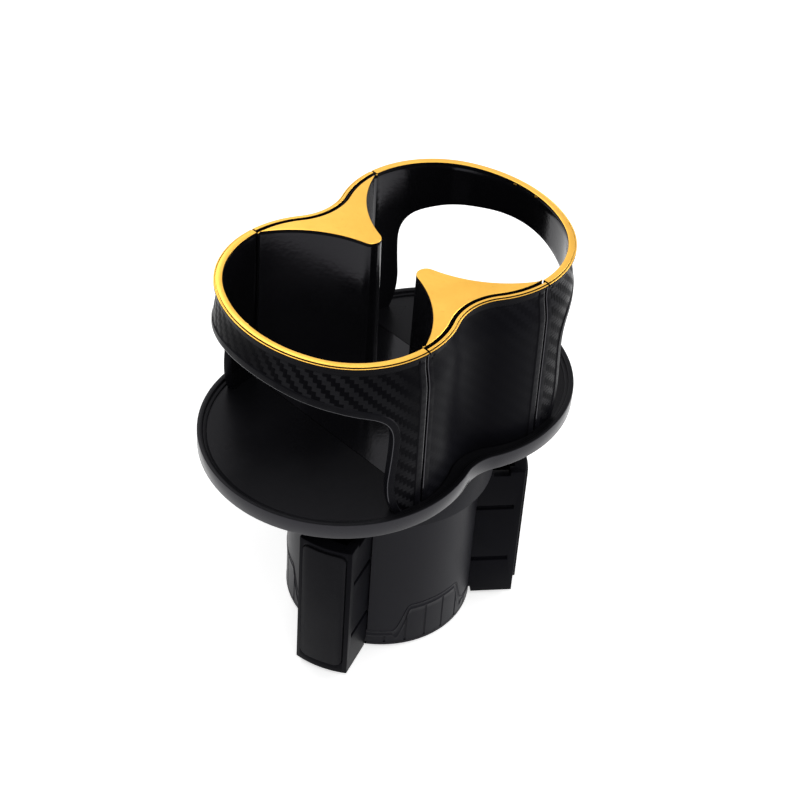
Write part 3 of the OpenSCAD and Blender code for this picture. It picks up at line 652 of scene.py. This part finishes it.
def joined(name, parts):
    bpy.ops.object.select_all(action="DESELECT")
    for part in parts:
        part.select_set(True)
    bpy.context.view_layer.objects.active = parts[0]
    bpy.ops.object.join()
    parts[0].name = name
    return parts[0]


floorPlate = {"spacing": 1.0, "shellBack": -1.42, "frameBack": 0.7}
lows = wall["floor"], wall["floor"] - wall["fieldDrop"]  # of a wall, and of its field

for name, turn in (("rear", list), ("front", turned)):
    rail = railOf(turn(endArcs(bodyPlan, seam["shell"])))
    outlines = [shellOutline(rail[-1][4] / 2, z) for z in lows]
    shell = wallPiece(name + "Shell", rail, *outlines, wall["endThick"], "weave")
    plateRail = railOf(turn(endArcs(bodyPlan, seam["floor"])), floorPlate["spacing"])
    bm = bmesh.new()
    addPlate(bm, offsetRail(plateRail, floorPlate["shellBack"]))
    plate = newPiece(name + "Floor", bm, ["tray"])
    shell = joined(name + "Shell", [shell, plate])
    finishPiece(shell, name + "_shell", "cup_body")
print("shells made")

panelSpacing = 1.2
for name, turn in (("left", list), ("right", turned)):
    rail = railOf(turn(waistArcs(bodyPlan, seam["waist"])))
    half, top = rail[-1][4] / 2, wall["top"]
    outlines = [
        refine([(-half, z), (half, z), (half, top), (-half, top)], panelSpacing) for z in lows
    ]
    panel = wallPiece(name + "Panel", rail, *outlines, wall["panelThick"], "faintWeave")
    finishPiece(panel, name + "_panel", "cup_body")
print("panels made")

# The columns between the cups, and their gold caps
column = {
    "faceR": 36.65, "faceX": 38.0, "tipY": 8.2, "draft": 0.8, "back": 2.45, "endX": 21.9,
    "bladeX": 22.8, "bladeThick": 0.4, "spacing": 0.6,
    "sunk": 0.4,  # foot below the deck
    "cove": [(0, 1.9), (0.25, 1.45), (0.6, 1.12), (1.2, 1.0)],  # height, and share of the draft
    "straight": 0.3,  # undrafted height at the top
}
cap = {"height": 1.2, "bevel": 0.1, "slot": 0.15}
goldAbove = 0.3  # strips and caps are gold where the normal's z is above this


def columnFace(c, grow):
    # from the seam end at -x, round the tip, to the seam end at +x
    r, x, t = c["faceR"] - grow, c["faceX"], c["tipY"] - grow
    tipR = (x * x + t * t - r * r) / (2 * (r - t))
    tipY = t + tipR
    a = math.degrees(math.atan2(tipY, x))
    end = math.degrees(math.atan2(math.sqrt(r * r - (x - c["endX"]) ** 2), x - c["endX"]))
    tip = (0, tipY, tipR, a - 180, -a, 1)
    arcs = [(-x, 0, r, end, a, -1), tip, (x, 0, r, 180 - a, 180 - end, -1)]
    return railOf(arcs, c["spacing"])


def columnOutline(c, grow, side, slot=0.0):
    face = [(x, y) for x, y, *_ in columnFace(c, grow)]
    back = offsetRail(railOf(waistArcs(bodyPlan, c["bladeX"]), c["spacing"]), c["back"] + slot)
    # the back runs from +x to -x, and the face runs on from there, from blade to blade
    y = back[0][1] - c["bladeThick"]
    outline = back + [(-c["bladeX"], y)] + face + [(c["bladeX"], y)]
    return [(side * x, side * y) for x, y in outline], len(back)


def columnSolid(bm, c, side, low, high):
    top, nBack = columnOutline(c, 0, side)
    bottom, _ = columnOutline(c, c["draft"], side)
    faceTop, faceLow = top[nBack:], bottom[nBack:]
    levels = [(low + z, share) for z, share in c["cove"]]
    levels += [((low + high) / 2, 0.5), (high - c["straight"], 0.0), (high, 0.0)]
    rings = []
    for z, share in levels:
        ring = [(x, y, z) for x, y in top[:nBack]]
        for i, (x, y) in enumerate(faceTop):
            # the lower face may have another number of points
            lowX, lowY = faceLow[min(i * len(faceLow) // len(faceTop), len(faceLow) - 1)]
            ring.append((x + (lowX - x) * share, y + (lowY - y) * share, z))
        rings.append(ring)
    skinRings(bm, rings)


bm = bmesh.new()
for side in (1, -1):
    columnSolid(bm, column, side, wall["deck"] - column["sunk"], wall["top"])
plateRail = railOf(waistArcs(bodyPlan, seam["waist"]), floorPlate["spacing"])
across = offsetRail(plateRail, floorPlate["frameBack"])
addPlate(bm, across + [(-x, -y) for x, y in across])
bmesh.ops.recalc_face_normals(bm, faces=bm.faces)
frameObject = newPiece("centreFrame", bm, ["inner"])
finishPiece(frameObject, "centre_frame", "cup_body")


def bevelEdges(bm, edges, offset, segments):
    bmesh.ops.bevel(
        bm, geom=edges, offset=offset * mm, segments=segments, profile=0.5, affect="EDGES",
        clamp_overlap=True)


for side, name in ((1, "left"), (-1, "right")):
    outline, _ = columnOutline(column, 0, side, cap["slot"])
    bm = bmesh.new()
    face = bm.faces.new([bm.verts.new((x * mm, y * mm, wall["top"] * mm)) for x, y in outline])
    grown = bmesh.ops.extrude_face_region(bm, geom=[face])["geom"]
    upper = [v for v in grown if isinstance(v, bmesh.types.BMVert)]
    bmesh.ops.translate(bm, verts=upper, vec=(0, 0, cap["height"] * mm))
    bevelEdges(bm, [e for e in bm.edges if all(v in upper for v in e.verts)], cap["bevel"], 1)
    bmesh.ops.recalc_face_normals(bm, faces=bm.faces)
    for face in bm.faces:
        face.material_index = 0 if face.normal.z > goldAbove else 1
    capObject = newPiece(name + "ColumnCap", bm, ["gold", "panel"])
    finishPiece(capObject, name + "_column_cap", "cup_body")
print("columns made")


# Geometry Nodes
def newTree(name, inputs):
    tree = bpy.data.node_groups.new(name, "GeometryNodeTree")
    tree.interface.new_socket("Geometry", in_out="INPUT", socket_type="NodeSocketGeometry")
    for label, kind in inputs:
        tree.interface.new_socket(label, in_out="INPUT", socket_type=kind)
    tree.interface.new_socket("Geometry", in_out="OUTPUT", socket_type="NodeSocketGeometry")
    return tree, tree.nodes.new("NodeGroupInput"), tree.nodes.new("NodeGroupOutput")


def wire(tree, *pairs):
    for source, target in pairs:
        tree.links.new(source, target)


def stripTree():
    # sweeps a flat strip with rounded edges along the path
    tree, start, end = newTree("sweepStrip", [
        ("Width", "NodeSocketFloat"), ("Height", "NodeSocketFloat"),
        ("Rounding", "NodeSocketFloat"), ("Side Finish", "NodeSocketMaterial"),
        ("Finish", "NodeSocketMaterial"),
    ])
    box = addNode(tree, "GeometryNodeCurvePrimitiveQuadrilateral")
    fillet = addNode(tree, "GeometryNodeFilletCurve", mode="POLY")
    fillet.inputs["Count"].default_value = 3
    path = tree.nodes.new("GeometryNodeMeshToCurve")
    upright = addNode(tree, "GeometryNodeSetCurveNormal", mode="Z_UP")
    sweep = tree.nodes.new("GeometryNodeCurveToMesh")
    sweep.inputs["Fill Caps"].default_value = True
    real = tree.nodes.new("GeometryNodeRealizeInstances")
    sides, paint = (tree.nodes.new("GeometryNodeSetMaterial") for _ in range(2))
    normal = tree.nodes.new("GeometryNodeInputNormal")
    split = tree.nodes.new("ShaderNodeSeparateXYZ")
    wire(
        tree,
        (start.outputs["Width"], box.inputs["Width"]),
        (start.outputs["Height"], box.inputs["Height"]),
        (box.outputs["Curve"], fillet.inputs["Curve"]),
        (start.outputs["Rounding"], fillet.inputs["Radius"]),
        (fillet.outputs["Curve"], sweep.inputs["Profile Curve"]),
        (start.outputs["Geometry"], path.inputs["Mesh"]),
        (path.outputs["Curve"], upright.inputs["Curve"]),
        (upright.outputs["Curve"], sweep.inputs["Curve"]),
        (sweep.outputs["Mesh"], real.inputs["Geometry"]),
        (real.outputs["Geometry"], sides.inputs["Geometry"]),
        (start.outputs["Side Finish"], sides.inputs["Material"]),
        (sides.outputs["Geometry"], paint.inputs["Geometry"]),
        (start.outputs["Finish"], paint.inputs["Material"]),
        (normal.outputs["Normal"], split.inputs[0]),
        (paint.outputs["Geometry"], end.inputs["Geometry"]),
    )
    isTop = mathNode(tree, "GREATER_THAN", split.outputs["Z"], goldAbove)
    wire(tree, (isTop, paint.inputs["Selection"]))
    return tree


def runTree(name, tree, mesh, values, sharpAngle=35):
    holder = bpy.data.objects.new(name + "Path", mesh)
    bpy.context.collection.objects.link(holder)
    modifier = holder.modifiers.new("nodes", "NODES")
    modifier.node_group = tree
    for item in tree.interface.items_tree:
        if item.in_out == "INPUT" and item.name in values:
            modifier[item.identifier] = values[item.name]
    bpy.context.view_layer.update()
    evaluated = holder.evaluated_get(bpy.context.evaluated_depsgraph_get())
    made = bpy.data.meshes.new_from_object(evaluated)
    bpy.data.objects.remove(holder)
    bm = bmesh.new()
    bm.from_mesh(made)
    bmesh.ops.recalc_face_normals(bm, faces=bm.faces)
    bm.to_mesh(made)
    bm.free()
    for face in made.polygons:
        face.use_smooth = True
    made.set_sharp_from_angle(angle=math.radians(sharpAngle))
    obj = bpy.data.objects.new(name, made)
    bpy.context.collection.objects.link(obj)
    return obj


def pathMesh(name, points):
    mesh = bpy.data.meshes.new(name)
    edges = [(i, i + 1) for i in range(len(points) - 1)]
    mesh.from_pydata([Vector(p) * mm for p in points], edges, [])
    return mesh


# Each trim is a bead along the outer edge, a flat beside it, and a lower core under both
strip = {
    "height": 1.2, "rounding": 0.14, "bead": 0.42, "beadDrop": 0.28, "groove": 0.2,
    "coreInset": 0.2, "coreNarrower": 0.5, "coreShare": 0.6,
    "slot": 0.15,  # between a waist trim and the column cap
    "spacing": 0.8,
}
sweepStrip = stripTree()


def sweptStrip(name, arcs, low, width, height):
    # low and width are measured inwards from the body's outline
    rail = offsetRail(railOf(arcs, strip["spacing"]), low + width / 2)
    line = [(x, y, wall["top"] + height / 2) for x, y in rail]
    return runTree(name, sweepStrip, pathMesh(name, line), {
        "Width": width * mm, "Height": height * mm, "Rounding": strip["rounding"] * mm,
        "Side Finish": finishes["panel"], "Finish": finishes["gold"],
    })


endTrim = endArcs(bodyPlan, seam["shell"]), wall["endThick"]
waistTrim = waistArcs(bodyPlan, seam["waist"]), wall["panelThick"] - strip["slot"]
inner = strip["bead"] + strip["groove"]
for name, node, (arcs, width), turn in (
    ("rearRimTrim", "rear_rim_trim", endTrim, list),
    ("frontRimTrim", "front_rim_trim", endTrim, turned),
    ("leftWaistTrim", "left_waist_trim", waistTrim, list),
    ("rightWaistTrim", "right_waist_trim", waistTrim, turned),
):
    arcs, height = turn(arcs), strip["height"]
    coreWidth = width - strip["coreNarrower"]
    parts = [
        sweptStrip(name, arcs, 0, strip["bead"], height - strip["beadDrop"]),
        sweptStrip(name + "Flat", arcs, inner, width - inner, height),
        sweptStrip(name + "Core", arcs, strip["coreInset"], coreWidth, height * strip["coreShare"]),
    ]
    finishPiece(joined(name, parts), node, "cup_body")
print("trims made")

# Small gold tabs on the inner edge of each end rim
tabs = {"across": 4.2, "size": (0.5, 1.1, 0.5), "sunk": 0.02, "height": 126.4}
tabMesh = bmesh.new()
for end in (1, -1):
    for y in (tabs["across"], -tabs["across"]):
        x = bodyPlan["endX"] + math.sqrt((bodyPlan["endR"] - wall["endThick"]) ** 2 - y * y)
        place = (end * (x - tabs["sunk"]) * mm, y * mm, tabs["height"] * mm)
        box = bmesh.ops.create_cube(tabMesh, size=mm)["verts"]
        bmesh.ops.scale(tabMesh, verts=box, vec=tabs["size"])
        bmesh.ops.translate(tabMesh, verts=box, vec=place)
finishPiece(newPiece("rimTabs", tabMesh, ["gold"]), None, "cup_body")

# Tray: rows of (plan, inward offset, height) joined into one skin
tray = {
    "skirtRows": (1, 2, 3, 4),
    "perArc": (22, 26, 22, 22, 22, 22),  # points on each arc of half a plan
    "rows": [
        (trayPlan, 3.0, 70.6), (trayPlan, 0.4, 70.6), (trayPlan, 0.12, 70.68),
        (trayPlan, 0.0, 70.95), (trayPlan, 0.0, 75.35), (trayPlan, 0.07, 75.52),
        (trayPlan, 0.22, 75.6), (trayPlan, 1.38, 75.6), (trayPlan, 1.52, 75.54),
        (trayPlan, 1.6, 75.4), (trayPlan, 1.64, 74.9), (trayPlan, 1.72, 74.81),
        (trayPlan, 2.55, 74.8), (trayPlan, 2.66, 74.74), (trayPlan, 2.7, 74.4),
        (trayPlan, 2.78, 74.3), (bodyPlan, -1.43, 74.3), (bodyPlan, -1.43, 72.1),
        (bodyPlan, 0.6, 72.1),
    ],
}


def loopOf(plan, d):
    points = []
    arcs = endArcs(plan, plan["cornerX"]) + waistArcs(plan, plan["cornerX"])
    for turn in (1, -1):
        for (cx, cy, r, a, b, side), n in zip(arcs, tray["perArc"]):
            for i in range(n):
                t = math.radians(a + (b - a) * i / n)
                x, y = cx + (r - side * d) * math.cos(t), cy + (r - side * d) * math.sin(t)
                points.append((turn * x, turn * y))
    return points


def trayPiece(t):
    bm = bmesh.new()
    rows = skinRings(bm, [[(x, y, z) for x, y in loopOf(plan, d)] for plan, d, z in t["rows"]])
    for k in t["skirtRows"]:
        for face in rows[k]:
            face.material_index = 1
    bmesh.ops.recalc_face_normals(bm, faces=bm.faces)
    return newPiece("cupTray", bm, ["tray", "skirt"], sharpAngle=40)


finishPiece(trayPiece(tray), "tray", "cup_body")
print("tray made")

# Skirt of the drum: a plate in each recess, with a raised edge line, a ribbon, and cells
# between grooves
skirt = {
    "radius": 28.9,
    "low": 7.0,
    "high": 17.4,
    "bottom": 1.8,
    "half": 8.4,
    "slope": 5.0,
    "steepest": 2.6,  # the edge line's rows spread by this much at most on the slope
    "reach": 20.2,  # half width of the recess, straight across
    "spacing": 0.4,
    "clear": 0.15,  # between the grooves' points and the others
    "groove": 6.46,  # distance between grooves along the drum
    "grooves": 3,  # on either side
    "grooveHalf": 0.24,
    "grooveFade": 1.6,  # half width with its slopes, in half widths
    "grooveDepth": 0.3,
    "grooveSides": 0.22,
    "cellDepth": 0.06,
    "cellRows": 8,
    "grooveRow": 7,  # first row of the profile with grooves
    "back": 0.9,  # depth of the plate's back
    # distance in from the edge line, and depth below the drum's surface
    "profile": [
        (0.0, 0.3), (0.1, -0.02), (0.3, -0.12), (0.5, 0.0), (0.68, 0.17), (1.9, 0.17),
        (2.05, 0.0), (2.25, -0.05), (2.5, 0.06),
    ],
}


def skirtTop(k, s):
    across = abs(k["radius"] * math.sin(s / k["radius"]))
    u = min(max((k["half"] + k["slope"] - across) / k["slope"], 0.0), 1.0)
    return k["low"] + (k["high"] - k["low"]) * u * u * (3 - 2 * u)


def skirtPlate(k, angle):
    end = k["radius"] * math.asin(k["reach"] / k["radius"])
    n = round(2 * end / k["spacing"])
    grooves = [(i + 0.5) * k["groove"] for i in range(-k["grooves"], k["grooves"])]
    offsets = (-k["grooveFade"], -1, 0, 1, k["grooveFade"])
    cuts = {g + side * k["grooveHalf"]: abs(side) for g in grooves for side in offsets}
    stations = [(-end + 2 * end * i / n, None) for i in range(n + 1)]
    stations = [q for q in stations if min(abs(q[0] - c) for c in cuts) > k["clear"]]
    rings = []
    for s, side in sorted(stations + list(cuts.items()), key=lambda q: q[0]):
        top = skirtTop(k, s)
        near = 0.1
        rise = (skirtTop(k, s + near) - skirtTop(k, s - near)) / (2 * near)
        slant = min(math.hypot(1, rise), k["steepest"])
        rows = [(top - d * slant, depth) for d, depth in k["profile"]]
        base, m = rows[-1][0], k["cellRows"]
        rows += [(base + (k["bottom"] - base) * i / m, k["cellDepth"]) for i in range(1, m + 1)]
        ring = []
        for i, (z, depth) in enumerate(rows):
            if side in (0, 1) and i >= k["grooveRow"]:
                depth += k["grooveSides"] if side else k["grooveDepth"]
            ring.append((k["radius"] - depth, max(z, k["bottom"])))
        ring += [(k["radius"] - k["back"], z) for z in (k["bottom"], top)]
        a = math.radians(angle) + s / k["radius"]
        rings.append([(r * math.cos(a), r * math.sin(a), z) for r, z in ring])
    bm = bmesh.new()
    skinRings(bm, rings)
    bmesh.ops.recalc_face_normals(bm, faces=bm.faces)
    return newPiece("skirtPlate", bm, ["base"], sharpAngle=50)


footAngles = {"right": -37.5, "left": 82.5, "front": 202.5}
plates = [skirtPlate(skirt, angle + 60) for angle in footAngles.values()]
finishPiece(joined("skirtPlates", plates), None, "base")
print("skirt made")


# Feet, pads and ring: the CAD shapes with their edges rounded
soften = {"merge": 0.002, "flat": 1.5, "sharp": 40, "segments": 2}


def softened(name, node, finish, radius, body):
    k = soften
    bm = bmesh.new()
    bm.from_mesh(nodes[node].data)
    bm.transform(nodes[node].matrix_world)
    bmesh.ops.remove_doubles(bm, verts=bm.verts, dist=k["merge"] * mm)
    flat, sharp = math.radians(k["flat"]), math.radians(k["sharp"])
    bmesh.ops.dissolve_limit(bm, angle_limit=flat, verts=bm.verts, edges=bm.edges)
    edges = [e for e in bm.edges if len(e.link_faces) == 2 and e.calc_face_angle() > sharp]
    bevelEdges(bm, edges, radius, k["segments"])
    bmesh.ops.triangulate(bm, faces=bm.faces)
    bmesh.ops.recalc_face_normals(bm, faces=bm.faces)
    for face in bm.faces:
        face.material_index = 0
    finishPiece(newPiece(name, bm, [finish], sharpAngle=35), node, body)


for side in footAngles:
    softened(side + "Foot", "foot_" + side, "foot", 0.18, side + "_foot")
    softened(side + "Pad", "pad_" + side, "rubber", 0.15, side + "_foot")
softened("adjusterRing", "adjuster_ring", "collar", 0.25, "adjuster")
print("feet made")

# CAD nodes that stay get their finish
kept = {
    "base": ["base_barrel", "base_cap"],
    "steel": ["base_screws", "floor_screws", "pivot_bush", "pivot_washer", "pivot_screw"],
}
for finish, names in kept.items():
    for name in names:
        nodes[name].data.materials.clear()
        setFinish(nodes[name], finish)

# Floor, lamps and surroundings
studio = {
    "floor": (0.86, 0.86, 0.86),
    "floorRough": 0.9,
    "floorGlow": 0.62,
    "floorSize": 12,
    "floorDrop": -0.0004,
    "world": (0.3, 1.0),  # for lighting, and as seen in reflections
    "white": (1, 1, 1, 1),
    "aim": (0, 0, 0.07),
    # place, size, power
    "lamps": [
        ((-0.35, -0.60, 1.10), 0.7, 4.0),
        ((0.80, -0.45, 0.30), 0.45, 4.0),
        ((0.1, 0.8, 0.9), 0.8, 5.0),
    ],
}


def seenDirectly(tree):
    path = tree.nodes.new("ShaderNodeLightPath")
    seen = mathNode(tree, "MAXIMUM", path.outputs["Is Camera Ray"], path.outputs["Is Glossy Ray"])
    return mathNode(tree, "MAXIMUM", seen, path.outputs["Is Transmission Ray"])


def buildStudio(s):
    bpy.ops.mesh.primitive_plane_add(size=s["floorSize"], location=(0, 0, s["floorDrop"]))
    floor = bpy.context.object
    floor.name = "floor"
    material, tree, shader = newMaterial("floorPaint", s["floor"], s["floorRough"], specular=0.0)
    shader.inputs["Emission Color"].default_value = s["white"]
    glow = mathNode(tree, "MULTIPLY", seenDirectly(tree), s["floorGlow"])
    tree.links.new(glow, shader.inputs["Emission Strength"])
    floor.data.materials.append(material)
    world = bpy.data.worlds.new("studio")
    bpy.context.scene.world = world
    world.use_nodes = True
    tree = world.node_tree
    shade = tree.nodes["Background"]
    strength = rangeNode(tree, seenDirectly(tree), 0, 1, *s["world"])
    tree.links.new(strength, shade.inputs["Strength"])
    shade.inputs["Color"].default_value = s["white"]
    for i, (place, size, power) in enumerate(s["lamps"]):
        data = bpy.data.lights.new(f"lamp{i}", "AREA")
        data.size, data.energy = size, power
        lamp = bpy.data.objects.new(f"lamp{i}", data)
        lamp.location = place
        toAim = Vector(s["aim"]) - Vector(place)
        lamp.rotation_euler = toAim.to_track_quat("-Z", "Y").to_euler()
        bpy.context.collection.objects.link(lamp)


buildStudio(studio)
print("studio made")
